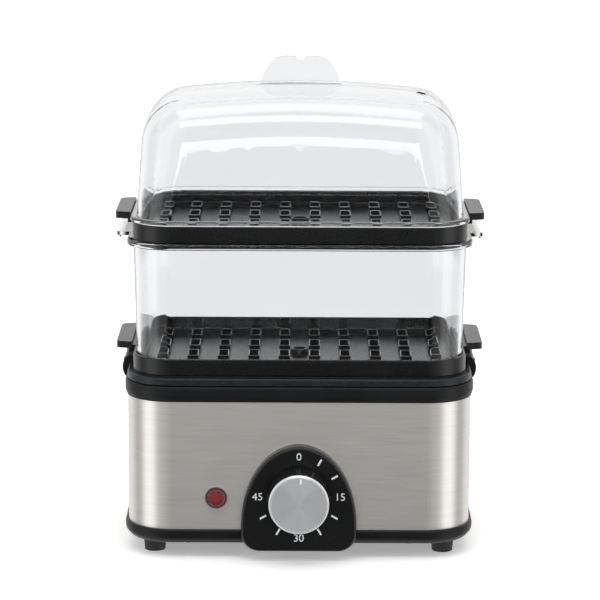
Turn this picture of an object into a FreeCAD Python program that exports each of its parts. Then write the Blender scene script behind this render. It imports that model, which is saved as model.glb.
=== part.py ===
"""Two-tier egg cooker: heated base with a water pan, two steaming trays, a clear chamber and a clear lid.

Millimetres, +Z up, front towards -Y. Every rounded outline of the cooker is the steel shell's outline
moved in or out, so plates are given by their width and rings by their offset from the shell.
"""

import FreeCAD, Part
import math
import os

from FreeCAD import Vector

# Steel shell, the outline that everything else follows
SHELL_WIDTH = 205.0
SHELL_DEPTH = 144.0
SHELL_CORNER = 26.5
SHELL_SHEET = 0.8
SHELL_BOTTOM = 14.0
SHELL_TOP = 99.0
SHELL_FRONT = -SHELL_DEPTH / 2

# Heights of the housing
BASE_BOTTOM = 8.8
BASE_RING_TOP = 17.8
BASE_FLOOR_TOP = 11.3
BASE_LIP_TOP = 24.0
COLLAR_BOTTOM = 95.4
COLLAR_TOP = 104.7
COLLAR_DECK = 102.2
FIT_GAP = 0.1

# Rubber feet
FOOT_X = 86.5
FOOT_Y = 52.0
FOOT_RADIUS = 7.0
FOOT_STEM_RADIUS = 3.0

# Posts and screws
POST_X = 66.0
POST_Y = 66.0
POST_RADIUS = 4.0
POST_SPLIT = 30.0
SCREW_RADIUS = 1.5
SCREW_HEAD_RADIUS = 2.8
SCREW_HEAD = 2.0
SCREW_SEAT = 12.5

# Water pan and its two handles
PAN_BOTTOM = 74.2
PAN_FLANGE_BOTTOM = 104.9
PAN_BAND_TOP = 109.6
PAN_SEAT_TOP = 110.2
PAN_SHEET = 1.8
PAN_BAND_OFFSET = 0.25
HANDLE_HALF_LENGTH = 24.0
HANDLE_REACH = 107.4
HANDLE_BULGE_Z = 106.8
HANDLE_BOTTOM = 100.2
HANDLE_TOP = 112.6
HANDLE_INSIDE = 104.5
HANDLE_SCREW_SEAT = 104.9
HANDLE_SCREW_Y = 15.0
HANDLE_SCREW_Z = 107.3
HANDLE_SCREW_LENGTH = 7.6

# Heater
PLATE_WIDTH = 172.0
PLATE_TOP = 74.0
PLATE_BOTTOM = 68.0
ELEMENT_Z = 67.0
ELEMENT_RADIUS = 3.2
ELEMENT_X = 68.0
ELEMENT_Y = 38.0
ELEMENT_CORNER = 16.0
ELEMENT_START_X = 12.0
ELEMENT_LEG_X = 4.5
ELEMENT_LEG_BEND = 7.0
ELEMENT_LEG_BOTTOM = 42.0
STANDOFF_X = 46.0
STANDOFF_Y = 20.0
SHIELD_WIDTH = 161.0
SHIELD_BOTTOM = 55.2
SHIELD_TOP = 59.2
SHIELD_SHEET = 0.8
THERMOSTAT_Y = 15.0
FUSE_Y = -12.0
FUSE_Z = 65.8

# Dial panel, timer and knob
DIAL_Z = 39.8
PANEL_HALF_WIDTH = 34.2
PANEL_WAIST_Z = 22.0
PANEL_TOP = 70.3
PANEL_BOTTOM = 6.3
PANEL_CORNER = 11.0
PANEL_FRONT = -80.0
PANEL_WALL = 2.4
PANEL_SCREW_X = 26.0
TIMER_WIDTH = 40.0
TIMER_HEIGHT = 36.0
TIMER_FRONT = -70.0
TIMER_BACK = -52.0
BRACKET_SHEET = 1.2
BELL_Z = 37.0
BELL_RADIUS = 15.0
SHAFT_RADIUS = 3.0
SHAFT_TIP = -92.0
RUNNING_GAP = 0.05
KNOB_FACE = -97.5
KNOB_CAP_BACK = -95.7
KNOB_BACK = -80.6
KNOB_CAP_RADIUS = 17.7
KNOB_FRONT_RADIUS = 18.2
KNOB_BACK_RADIUS = 19.4

# Indicator lamp and cord entry
LENS_X = -49.1
LENS_Z = 37.7
LENS_RADIUS = 6.5
LENS_FRONT = -74.6
LENS_BARREL_RADIUS = 5.0
LENS_BARREL_BACK = -62.0
GLAND_X = 40.0
GLAND_Z = 36.0
GLAND_BORE_RADIUS = 3.6
GLAND_NECK_RADIUS = 5.5
GLAND_FLANGE_RADIUS = 7.5
GLAND_INSIDE = 68.5
GLAND_REACH = 74.5
LEAD_RADIUS = 1.1

# Steaming trays, heights measured down from the rim
LOWER_TRAY_TOP = 120.25
UPPER_TRAY_TOP = 199.5
TRAY_WIDTH = 198.3
TRAY_WALL = 1.8
TRAY_SKIRT = 9.85
TRAY_LEDGE = 6.9
TRAY_FLOOR = 9.0
TRAY_FLOOR_THICK = 1.6
TRAY_RIB = 13.4
TRAY_RIB_OUT = -6.75
TRAY_RIB_IN = -8.6
TRAY_LEDGE_IN = -8.0
CHIMNEY_COLUMNS = 10
CHIMNEY_ROWS = 4
CHIMNEY_PITCH_X = 18.45
CHIMNEY_PITCH_Y = 32.46
CHIMNEY_WIDTH = 6.8
CHIMNEY_LENGTH = 19.6
CHIMNEY_WALL = 0.75
CHIMNEY_TOP = 5.6
BOSS_RADIUS = 5.0
BOSS_FOOT_RADIUS = 5.7

# Grips at the sides of trays and chamber
GRIP_REACH = 110.4
GRIP_HALF_LENGTH = 28.0
GRIP_THICK = 4.1
GRIP_RISE = 2.0

# Clear chamber and lid
CLEAR_WALL = 2.2
CHAMBER_BOTTOM = 113.5
CHAMBER_BOTTOM_WIDTH = 193.8
CHAMBER_TOP_WIDTH = 196.9
FLANGE_WIDTH = 204.5
FLANGE_BOTTOM = 185.8
FLANGE_TOP = 189.45
CHAMBER_GRIP_REACH = 109.7
LID_FLANGE_WIDTH = 200.6
LID_FLANGE_BOTTOM = 199.7
LID_FLANGE_TOP = 202.5
LID_WALL_WIDTH = 193.6
LID_LOFT_TOP = 290.0
LID_LOFT_WIDTH = 182.0
LID_LOFT_CORNER = 36.0
LID_CROWN = 276.2
LID_CROWN_RADIUS_X = 625.0
LID_CROWN_RADIUS_Y = 250.0
LID_SHOULDER = 26.0
TAB_TOP = 292.2
TAB_FOOT = 274.8
TAB_SPRING = 266.0
TAB_HALF_WIDTH = 25.3
TAB_FLAT = 9.7
TAB_THICK = 2.8
NOTCH_TOP = 3.1
NOTCH_FOOT = 1.65
NOTCH_DEPTH = 2.6
VENT_X = 72.0
VENT_Y = -12.0
VENT_RADIUS = 2.8

ORIGIN = Vector(0, 0, 0)
ACROSS = Vector(1, 0, 0)
BACK = Vector(0, 1, 0)
UP = Vector(0, 0, 1)


def corners_of(x, y):
    """The four mirror positions of a point."""
    return [(side * x, end * y) for side in (-1, 1) for end in (-1, 1)]


def rounded_wire(corners, place):
    """Closed wire through (u, v, radius) corners; place(u, v) gives each point's position."""
    bends = []
    for i, (u, v, radius) in enumerate(corners):
        here = Vector(u, v, 0)
        before = (Vector(*corners[i - 1][:2], 0) - here).normalize()
        after = (Vector(*corners[(i + 1) % len(corners)][:2], 0) - here).normalize()
        if radius == 0:
            bends.append((here, None, here))
            continue
        half_angle = before.getAngle(after) / 2
        setback = radius / math.tan(half_angle)
        middle = here + (before + after).normalize() * (radius / math.sin(half_angle) - radius)
        bends.append((here + before * setback, middle, here + after * setback))
    edges = []
    for i, (start, middle, end) in enumerate(bends):
        following = bends[(i + 1) % len(bends)][0]
        if middle is not None:
            edges.append(Part.Arc(*[place(p.x, p.y) for p in (start, middle, end)]).toShape())
        if end.distanceToPoint(following) > 1e-6:
            edges.append(Part.LineSegment(place(end.x, end.y), place(following.x, following.y)).toShape())
    return Part.Wire(edges)


def outline(width, z, corner=None):
    """Rounded rectangle parallel to the shell's outline, lying at height z."""
    offset = (width - SHELL_WIDTH) / 2
    half_x = width / 2
    half_y = SHELL_DEPTH / 2 + offset
    radius = SHELL_CORNER + offset if corner is None else corner
    corners = [(-half_x, -half_y, radius), (half_x, -half_y, radius),
               (half_x, half_y, radius), (-half_x, half_y, radius)]
    return rounded_wire(corners, lambda x, y: Vector(x, y, z))


def slab(width, bottom, top):
    """Flat rounded plate between two heights."""
    return Part.Face(outline(width, bottom)).extrude(UP * (top - bottom))


def ring(profile):
    """Ring round the cooker; profile holds (offset from the shell, height, radius) corners."""
    section = rounded_wire(profile, lambda offset, z: Vector(0, SHELL_FRONT - offset, z))
    return outline(SHELL_WIDTH, 0).makePipeShell([section], True, False)


def rod(x, y, bottom, top, radius):
    """Upright cylinder between two heights."""
    return Part.makeCylinder(radius, top - bottom, Vector(x, y, bottom), UP)


def axle(x, z, front, back, radius):
    """Cylinder lying along Y from front to back."""
    return Part.makeCylinder(radius, back - front, Vector(x, front, z), BACK)


def bar(start, end, y, z, radius):
    """Cylinder lying along X between two places."""
    return Part.makeCylinder(radius, abs(end - start), Vector(min(start, end), y, z), ACROSS)


def block(low, high):
    """Box between two opposite corners."""
    return Part.makeBox(*[b - a for a, b in zip(low, high)], Vector(*low))


def screw(length):
    """Pan-head screw pointing up, its head's underside at the origin."""
    head = rod(0, 0, -SCREW_HEAD, 0, SCREW_HEAD_RADIUS)
    slot = block((-0.4, -1.8, -SCREW_HEAD), (0.4, 1.8, -SCREW_HEAD + 0.9))
    cross = slot.fuse(slot.rotated(ORIGIN, UP, 90))
    return head.cut(cross).fuse(rod(0, 0, 0, length, SCREW_RADIUS))


def tube(points, radius, bend):
    """Round tube along straight runs joined by tangent arcs of one bend radius."""
    edges = []
    start = points[0]
    for here, following in zip(points[1:-1], points[2:]):
        into = (start - here).normalize()
        out = (following - here).normalize()
        half_angle = into.getAngle(out) / 2
        setback = bend / math.tan(half_angle)
        middle = here + (into + out).normalize() * (bend / math.sin(half_angle) - bend)
        edges.append(Part.LineSegment(start, here + into * setback).toShape())
        edges.append(Part.Arc(here + into * setback, middle, here + out * setback).toShape())
        start = here + out * setback
    edges.append(Part.LineSegment(start, points[-1]).toShape())
    circle = Part.Wire(Part.makeCircle(radius, points[0], points[1] - points[0]))
    return Part.Wire(edges).makePipeShell([circle], True, False)


# Housing

def make_rubber_feet():
    """Four feet, each with a stem through the floor and a bulb that holds it there."""
    feet = []
    for x, y in corners_of(FOOT_X, FOOT_Y):
        pad = Part.makeCone(FOOT_RADIUS - 0.8, FOOT_RADIUS, BASE_BOTTOM, Vector(x, y, 0), UP)
        stem = rod(x, y, BASE_BOTTOM, BASE_FLOOR_TOP, FOOT_STEM_RADIUS)
        floor_top = Vector(x, y, BASE_FLOOR_TOP)
        bulb = Part.makeCone(FOOT_STEM_RADIUS + 1.0, FOOT_STEM_RADIUS - 0.6, 3.0, floor_top, UP)
        feet.append(pad.fuse([stem, bulb]))
    return feet


def make_base_tray():
    """Black bottom ring with the floor, the shell's groove, screw bosses and air slots."""
    wall = ring([(-3.1, BASE_BOTTOM, 0), (-1.5, BASE_BOTTOM, 3.0), (1.95, 12.6, 5.0),
                 (1.95, BASE_RING_TOP, 1.2), (FIT_GAP, BASE_RING_TOP, 0), (FIT_GAP, SHELL_BOTTOM, 0),
                 (-SHELL_SHEET - FIT_GAP, SHELL_BOTTOM, 0), (-SHELL_SHEET - FIT_GAP, BASE_LIP_TOP, 0),
                 (-3.1, BASE_LIP_TOP, 0)])
    floor = slab(SHELL_WIDTH - 6.0, BASE_BOTTOM, BASE_FLOOR_TOP)
    bosses = [rod(x, y, BASE_BOTTOM, POST_SPLIT, POST_RADIUS) for x, y in corners_of(POST_X, POST_Y)]
    bosses += [rod(x, y, BASE_BOTTOM, POST_SPLIT, POST_RADIUS + 1)
               for x, y in corners_of(STANDOFF_X, STANDOFF_Y)]
    cuts = [rod(x, y, 0, BASE_LIP_TOP, FOOT_STEM_RADIUS) for x, y in corners_of(FOOT_X, FOOT_Y)]
    for x, y in corners_of(POST_X, POST_Y) + corners_of(STANDOFF_X, STANDOFF_Y):
        cuts.append(rod(x, y, 0, POST_SPLIT + 1, SCREW_RADIUS + FIT_GAP))
        cuts.append(rod(x, y, 0, SCREW_SEAT, SCREW_HEAD_RADIUS + 0.3))
    for x in range(-24, 25, 8):
        cuts.append(block((x - 1.5, -12, 0), (x + 1.5, 12, BASE_LIP_TOP)))
    cuts.append(panel_slab(FIT_GAP, PANEL_FRONT, SHELL_FRONT))
    cuts.append(block((-PANEL_HALF_WIDTH, SHELL_FRONT, BASE_RING_TOP),
                      (PANEL_HALF_WIDTH, TIMER_FRONT + 3, BASE_LIP_TOP + 1)))
    return [wall.fuse([floor] + bosses).cut(cuts)]


def make_base_screws():
    """Four long screws from below that pull the collar down on the shell."""
    return [screw(40.0).translated(Vector(x, y, SCREW_SEAT)) for x, y in corners_of(POST_X, POST_Y)]


def make_steel_shell():
    """Brushed steel wrap with the timer window, the screw holes, the lamp hole and the cord hole."""
    wrap = ring([(-SHELL_SHEET, SHELL_BOTTOM, 0), (0, SHELL_BOTTOM, 0),
                 (0, SHELL_TOP, 0), (-SHELL_SHEET, SHELL_TOP, 0)])
    cuts = [block((-12, -80, DIAL_Z - 12), (12, -60, DIAL_Z + 12)),
            axle(LENS_X, LENS_Z, -80, -60, LENS_BARREL_RADIUS + FIT_GAP),
            axle(GLAND_X, GLAND_Z, 60, 80, GLAND_NECK_RADIUS + FIT_GAP)]
    cuts += [axle(side * PANEL_SCREW_X, DIAL_Z, -80, -60, SCREW_RADIUS + FIT_GAP) for side in (-1, 1)]
    return [wrap.cut(cuts)]


def make_top_collar():
    """Black collar that closes the shell, carries the pan's rim and has four screw posts."""
    groove = -SHELL_SHEET - FIT_GAP
    body = ring([(FIT_GAP, COLLAR_BOTTOM, 0), (0.5, COLLAR_BOTTOM, 0.2),
                 (1.5, 98.4, 5.0), (1.5, COLLAR_TOP, 1.4),
                 (-10.5, COLLAR_TOP, 0.8), (-10.5, 88.0, 0), (-8.9, 88.0, 0), (-8.9, COLLAR_DECK, 0),
                 (-3.0, COLLAR_DECK, 0), (-3.0, 90.0, 0), (groove, 90.0, 0), (groove, SHELL_TOP + FIT_GAP, 0),
                 (FIT_GAP, SHELL_TOP + FIT_GAP, 0)])
    posts = [rod(x, y, POST_SPLIT, COLLAR_DECK + 0.5, POST_RADIUS) for x, y in corners_of(POST_X, POST_Y)]
    pilots = [rod(x, y, 0, SCREW_SEAT + 42.0, SCREW_RADIUS) for x, y in corners_of(POST_X, POST_Y)]
    return [body.fuse(posts).cut(pilots)]


# Heater

def element_form(radius):
    """Tubular form of the element: a loop open at the back whose two ends turn down."""
    x, y, start, z = ELEMENT_X, ELEMENT_Y, ELEMENT_START_X, ELEMENT_Z
    loop = tube([Vector(start, y, z), Vector(x, y, z), Vector(x, -y, z), Vector(-x, -y, z),
                 Vector(-x, y, z), Vector(-start, y, z)], radius, ELEMENT_CORNER)
    legs = []
    for side in (-1, 1):
        foot = Vector(side * ELEMENT_LEG_X, y, ELEMENT_LEG_BOTTOM)
        bend = Vector(side * ELEMENT_LEG_X, y, z)
        legs.append(tube([Vector(side * start, y, z), bend, foot], radius, ELEMENT_LEG_BEND))
    return loop.fuse(legs)


def make_heater_plate():
    """Cast aluminium hotplate with a broken top edge, the element's groove and four blind holes."""
    plate = slab(PLATE_WIDTH, PLATE_BOTTOM, PLATE_TOP)
    rim = [edge for edge in plate.Edges if edge.BoundBox.ZMin > PLATE_TOP - 0.1]
    holes = [rod(x, y, PLATE_BOTTOM - 1, PLATE_TOP - 1.5, SCREW_RADIUS)
             for x, y in corners_of(STANDOFF_X, STANDOFF_Y)]
    return [plate.makeChamfer(0.8, rim).cut([element_form(ELEMENT_RADIUS + FIT_GAP)] + holes)]


def make_heating_element():
    """Tubular element pressed into the plate's groove."""
    return [element_form(ELEMENT_RADIUS)]


def make_standoffs():
    """Four shouldered spacers that hold the hotplate above the base and carry the heat shield."""
    spacers = []
    for x, y in corners_of(STANDOFF_X, STANDOFF_Y):
        body = rod(x, y, POST_SPLIT, PLATE_BOTTOM, 3.6)
        shoulder = rod(x, y, SHIELD_BOTTOM - 2.0, SHIELD_BOTTOM, 5.5)
        spacers.append(body.fuse(shoulder).cut(rod(x, y, 0, PLATE_TOP, SCREW_RADIUS + FIT_GAP)))
    return spacers


def make_heater_screws():
    """Four screws from below, through bosses and spacers, into the hotplate."""
    length = PLATE_TOP - 2.0 - SCREW_SEAT
    return [screw(length).translated(Vector(x, y, SCREW_SEAT)) for x, y in corners_of(STANDOFF_X, STANDOFF_Y)]


def make_heat_shield():
    """Thin steel dish under the element, open for spacers, element legs, thermostat and fuse leads."""
    dish = slab(SHIELD_WIDTH, SHIELD_BOTTOM, SHIELD_TOP)
    inside = slab(SHIELD_WIDTH - 2 * SHIELD_SHEET, SHIELD_BOTTOM + SHIELD_SHEET, SHIELD_TOP + 1)
    openings = [(x, y, 3.7) for x, y in corners_of(STANDOFF_X, STANDOFF_Y)]
    openings += [(side * ELEMENT_LEG_X, ELEMENT_Y, 4.2) for side in (-1, 1)]
    openings += [(side * 22.0, FUSE_Y, 2.5) for side in (-1, 1)]
    openings.append((0, THERMOSTAT_Y, 9.5))
    holes = [rod(x, y, SHIELD_BOTTOM - 1, SHIELD_TOP, radius) for x, y, radius in openings]
    return [dish.cut([inside] + holes)]


def make_thermostat():
    """Disc thermostat against the plate's underside, with two blade terminals."""
    can = rod(0, THERMOSTAT_Y, PLATE_BOTTOM - 4.0, PLATE_BOTTOM, 8.0)
    base = rod(0, THERMOSTAT_Y, PLATE_BOTTOM - 11.0, PLATE_BOTTOM - 4.0, 6.8)
    blades = [block((side * 4.0 - 0.4, THERMOSTAT_Y - 2.4, PLATE_BOTTOM - 19.0),
                    (side * 4.0 + 0.4, THERMOSTAT_Y + 2.4, PLATE_BOTTOM - 10.9)) for side in (-1, 1)]
    return [can.fuse([base] + blades)]


def make_thermal_fuse():
    """One-shot thermal fuse lying under the plate, with its two leads."""
    body = Part.makeCylinder(2.0, 12.0, Vector(-6, FUSE_Y, FUSE_Z), ACROSS)
    wires = [Part.makeCylinder(0.5, 9.0, Vector(x, FUSE_Y, FUSE_Z), ACROSS) for x in (-15, 6)]
    return [body.fuse(wires)]


def make_fuse_clamp():
    """Bent steel strap that holds the fuse against the plate."""
    strap = block((-4, FUSE_Y - 8, PLATE_BOTTOM - 0.8), (4, FUSE_Y + 8, PLATE_BOTTOM))
    cover = block((-4, FUSE_Y - 3.2, PLATE_BOTTOM - 5.2), (4, FUSE_Y + 3.2, PLATE_BOTTOM))
    tunnel = block((-5, FUSE_Y - 2.3, PLATE_BOTTOM - 4.4), (5, FUSE_Y + 2.3, PLATE_BOTTOM + 1))
    return [strap.fuse(cover).cut(tunnel)]


# Dial panel, timer and lamp

def panel_slab(grow, front, back):
    """Plate with the dial panel's outline: half an ellipse over a flat-bottomed lower part."""
    half = PANEL_HALF_WIDTH + grow
    bottom = PANEL_BOTTOM - grow
    corner = PANEL_CORNER + grow
    centre = Vector(0, front, PANEL_WAIST_Z)
    ellipse = Part.Ellipse(Vector(0, front, PANEL_TOP + grow), Vector(half, front, PANEL_WAIST_Z), centre)
    inset = corner * (1 - math.cos(math.pi / 4))
    edges = [Part.ArcOfEllipse(ellipse, -math.pi / 2, math.pi / 2).toShape()]
    for side in (-1, 1):
        waist = Vector(side * half, front, PANEL_WAIST_Z)
        bend_top = Vector(side * half, front, bottom + corner)
        bend_middle = Vector(side * (half - inset), front, bottom + inset)
        bend_foot = Vector(side * (half - corner), front, bottom)
        edges.append(Part.LineSegment(waist, bend_top).toShape())
        edges.append(Part.Arc(bend_top, bend_middle, bend_foot).toShape())
    left_foot = Vector(corner - half, front, bottom)
    edges.append(Part.LineSegment(left_foot, bend_foot).toShape())
    return Part.Face(Part.Wire(Part.__sortEdges__(edges))).extrude(BACK * (back - front))


def make_dial_panel():
    """Black panel over the timer: rounded front edge, hollow back, shaft hole and two screw posts."""
    back = SHELL_FRONT - FIT_GAP
    body = panel_slab(0, PANEL_FRONT, back)
    rim = [edge for edge in body.Edges if edge.BoundBox.YMax < PANEL_FRONT + 0.1]
    hollow = panel_slab(-PANEL_WALL, PANEL_FRONT + PANEL_WALL, 0)
    posts = [axle(side * PANEL_SCREW_X, DIAL_Z, PANEL_FRONT + 2.0, back, 3.2) for side in (-1, 1)]
    bores = [axle(side * PANEL_SCREW_X, DIAL_Z, PANEL_FRONT + 2.0, 0, SCREW_RADIUS) for side in (-1, 1)]
    bores.append(axle(0, DIAL_Z, PANEL_FRONT - 1, 0, SHAFT_RADIUS + 0.6))
    return [body.makeFillet(1.6, rim).cut(hollow).fuse(posts).cut(bores)]


def make_timer_bracket():
    """Steel plate behind the shell that carries the timer and takes the panel's screws."""
    plate = block((-PANEL_SCREW_X - 6, TIMER_FRONT - BRACKET_SHEET, DIAL_Z - 16),
                  (PANEL_SCREW_X + 6, TIMER_FRONT, DIAL_Z + 16))
    holes = [axle(side * PANEL_SCREW_X, DIAL_Z, -90, -40, SCREW_RADIUS + FIT_GAP) for side in (-1, 1)]
    return [plate.cut(holes + [axle(0, DIAL_Z, -90, -40, 6.0 + FIT_GAP)])]


def make_panel_screws():
    """Two screws from inside, through the bracket and the shell, into the panel's posts."""
    forward = screw(7.8).rotated(ORIGIN, ACROSS, 90)
    return [forward.translated(Vector(side * PANEL_SCREW_X, TIMER_FRONT, DIAL_Z)) for side in (-1, 1)]


def make_timer_body():
    """Clockwork timer case with a round front bush for the shaft and two side terminals."""
    low_z = DIAL_Z - TIMER_HEIGHT / 2
    case = block((-TIMER_WIDTH / 2, TIMER_FRONT, low_z), (TIMER_WIDTH / 2, TIMER_BACK, low_z + TIMER_HEIGHT))
    upright = [edge for edge in case.Edges if edge.BoundBox.YLength > 10]
    bush = axle(0, DIAL_Z, TIMER_FRONT - 2.5, TIMER_FRONT, 6.0)
    bore = axle(0, DIAL_Z, TIMER_FRONT - 3, TIMER_FRONT + 12.0, SHAFT_RADIUS + RUNNING_GAP)
    blades = [block((side * 22.0 - 2.5, -62.4, 28.0), (side * 22.0 + 2.5, -61.6, 34.0)) for side in (-1, 1)]
    return [case.makeFillet(3.0, upright).fuse([bush] + blades).cut(bore)]


def make_timer_bell():
    """Pressed bell behind the timer, struck when the time is up."""
    cup = axle(0, BELL_Z, TIMER_BACK, TIMER_BACK + 4.5, BELL_RADIUS)
    inside = axle(0, BELL_Z, TIMER_BACK - 1, TIMER_BACK + 3.7, BELL_RADIUS - 0.8)
    post = axle(0, BELL_Z, TIMER_BACK, TIMER_BACK + 5.5, 2.0)
    return [cup.cut(inside).fuse(post)]


def make_timer_shaft():
    """Timer shaft with a flat where the knob grips it."""
    shaft = axle(0, DIAL_Z, SHAFT_TIP, TIMER_FRONT + 11.5, SHAFT_RADIUS)
    flat = block((-5, SHAFT_TIP - 1, DIAL_Z + SHAFT_RADIUS - 0.8), (5, SHAFT_TIP + 9.0, DIAL_Z + 5))
    return [shaft.cut(flat)]


def make_knob_skirt():
    """Black knob body, tapered towards the front, hollow behind round the hub that grips the shaft."""
    length = KNOB_BACK - KNOB_CAP_BACK
    front = Vector(0, KNOB_CAP_BACK, DIAL_Z)
    body = Part.makeCone(KNOB_FRONT_RADIUS, KNOB_BACK_RADIUS, length, front, BACK)
    hollow = axle(0, DIAL_Z, KNOB_CAP_BACK + 4.0, 0, KNOB_FRONT_RADIUS - 1.8)
    hub = axle(0, DIAL_Z, KNOB_CAP_BACK + 3.0, KNOB_BACK - 1.0, 6.0)
    return [body.cut(hollow).fuse(hub).cut(make_timer_shaft())]


def make_knob_cap():
    """Turned aluminium face of the knob with a bevelled rim."""
    disc = axle(0, DIAL_Z, KNOB_FACE, KNOB_CAP_BACK, KNOB_CAP_RADIUS)
    rim = [edge for edge in disc.Edges if edge.BoundBox.YMax < KNOB_FACE + 0.1]
    return [disc.makeChamfer(0.9, rim)]


def make_indicator_lens():
    """Red lamp lens: a domed head and a hollow barrel through the shell."""
    head = axle(LENS_X, LENS_Z, LENS_FRONT, SHELL_FRONT, LENS_RADIUS)
    rim = [edge for edge in head.Edges if edge.BoundBox.YMax < LENS_FRONT + 0.1]
    barrel = axle(LENS_X, LENS_Z, SHELL_FRONT, LENS_BARREL_BACK, LENS_BARREL_RADIUS)
    bore = axle(LENS_X, LENS_Z, SHELL_FRONT + 1.0, 0, 2.8)
    return [head.makeFillet(1.4, rim).fuse(barrel).cut(bore)]


def make_indicator_lamp():
    """Neon lamp inside the lens's barrel, with its two wires."""
    tail = LENS_BARREL_BACK + 2.0
    bulb = axle(LENS_X, LENS_Z, SHELL_FRONT + 2.0, tail, 2.5)
    wires = [axle(LENS_X + side * 1.2, LENS_Z, tail, tail + 10.0, 0.4) for side in (-1, 1)]
    return [bulb.fuse(wires)]


# Mains side

def make_cord_gland():
    """Rubber bushing at the back that the mains cord passes through."""
    outside = axle(GLAND_X, GLAND_Z, SHELL_DEPTH / 2, GLAND_REACH, GLAND_FLANGE_RADIUS)
    rim = [edge for edge in outside.Edges if edge.BoundBox.YMin > GLAND_REACH - 0.1]
    neck = axle(GLAND_X, GLAND_Z, SHELL_DEPTH / 2 - SHELL_SHEET, SHELL_DEPTH / 2, GLAND_NECK_RADIUS)
    inside = axle(GLAND_X, GLAND_Z, GLAND_INSIDE, SHELL_DEPTH / 2 - SHELL_SHEET, GLAND_FLANGE_RADIUS - 0.5)
    bore = axle(GLAND_X, GLAND_Z, 0, 100, GLAND_BORE_RADIUS)
    return [outside.makeFillet(1.0, rim).fuse([neck, inside]).cut(bore)]


def make_terminal_block():
    """Three-way terminal block on the floor behind the bosses."""
    body = block((-4, 44, BASE_FLOOR_TOP), (34, 56, 22.3))
    wells = [rod(x, 47.0, 16.0, 30, 1.8) for x in (3, 15, 27)]
    return [body.cut(wells)]


def make_leads():
    """Insulated leads inside the base, one node each, by name."""
    z = ELEMENT_LEG_BOTTOM
    leg_x = ELEMENT_LEG_X
    blade_z = PLATE_BOTTOM - 19.0
    routes = {
        "lead_live": [(3, 53, 22.3), (3, 53, 31), (-32, 53, 31), (-32, -62, 31), (-24.5, -62, 31)],
        "lead_neutral": [(27, 53, 22.3), (27, 53, 33), (27, ELEMENT_Y, 33), (leg_x, ELEMENT_Y, 33),
                         (leg_x, ELEMENT_Y, z)],
        "lead_timer": [(24.5, -62, 31), (32, -62, 31), (32, THERMOSTAT_Y, 31), (4, THERMOSTAT_Y, 31),
                       (4, THERMOSTAT_Y, blade_z)],
        "lead_fuse": [(-4, THERMOSTAT_Y, blade_z), (-4, THERMOSTAT_Y, 40), (-22, THERMOSTAT_Y, 40),
                      (-22, FUSE_Y, 40), (-22, FUSE_Y, FUSE_Z), (-15, FUSE_Y, FUSE_Z)],
        "lead_element": [(15, FUSE_Y, FUSE_Z), (22, FUSE_Y, FUSE_Z), (22, FUSE_Y, 35.5),
                         (-leg_x, FUSE_Y, 35.5), (-leg_x, ELEMENT_Y, 35.5), (-leg_x, ELEMENT_Y, z)],
    }
    bend = 3.0
    return {name: [tube([Vector(*point) for point in route], LEAD_RADIUS, bend)]
            for name, route in routes.items()}


# Water pan

def make_pan():
    """Coated water pan: a thick rim band, a seat for the tray, a flange and a tapered well."""
    band = PAN_BAND_OFFSET
    flange_top = PAN_FLANGE_BOTTOM + PAN_SHEET
    wall = ring([(band, PAN_FLANGE_BOTTOM, 0.6), (band, PAN_BAND_TOP, 1.4), (-3.4, PAN_BAND_TOP, 0),
                 (-3.4, PAN_SEAT_TOP, 0), (-5.8, PAN_SEAT_TOP, 0.3), (-5.8, flange_top, 0.4),
                 (-13.0, flange_top, 1.2), (-16.0, PAN_BOTTOM, 0), (-14.2, PAN_BOTTOM, 0),
                 (-11.2, PAN_FLANGE_BOTTOM, 0)])
    floor = slab(SHELL_WIDTH - 2 * 14.8, PAN_BOTTOM, PAN_BOTTOM + PAN_SHEET)
    tip = HANDLE_SCREW_SEAT - HANDLE_SCREW_LENGTH
    holes = [bar(side * tip, side * HANDLE_SCREW_SEAT, y, HANDLE_SCREW_Z, SCREW_RADIUS)
             for side, y in corners_of(1, HANDLE_SCREW_Y)]
    return [wall.fuse(floor).cut(holes)]


def make_pan_handles():
    """Two curved ears that hook over the rim band and bulge out at the sides."""
    edge = SHELL_WIDTH / 2 + PAN_BAND_OFFSET
    hook = 99.6
    section = rounded_wire(
        [(hook, PAN_BAND_TOP, 0), (hook, HANDLE_TOP, 0.6), (104.6, HANDLE_TOP, 2.0),
         (HANDLE_REACH + 0.9, HANDLE_BULGE_Z, 9.5), (105.6, HANDLE_BOTTOM, 0.8),
         (HANDLE_INSIDE, HANDLE_BOTTOM, 0.2), (HANDLE_INSIDE, 105.2, 0), (edge, 105.2, 0),
         (edge, PAN_BAND_TOP, 0)],
        lambda x, z: Vector(x, -HANDLE_HALF_LENGTH, z))
    ear = Part.Face(section).extrude(BACK * 2 * HANDLE_HALF_LENGTH)
    for y in (-HANDLE_SCREW_Y, HANDLE_SCREW_Y):
        head = bar(HANDLE_SCREW_SEAT, HANDLE_REACH + 1, y, HANDLE_SCREW_Z, SCREW_HEAD_RADIUS + FIT_GAP)
        ear = ear.cut([head, bar(edge - 1, HANDLE_REACH, y, HANDLE_SCREW_Z, SCREW_RADIUS + FIT_GAP)])
    return [ear, ear.rotated(ORIGIN, UP, 180)]


def make_handle_screws():
    """Four screws from the sides that hold the ears on the pan's rim band."""
    return [screw(HANDLE_SCREW_LENGTH).rotated(ORIGIN, BACK, -90 * side).translated(
        Vector(side * HANDLE_SCREW_SEAT, y, HANDLE_SCREW_Z)) for side, y in corners_of(1, HANDLE_SCREW_Y)]


# Trays

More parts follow.
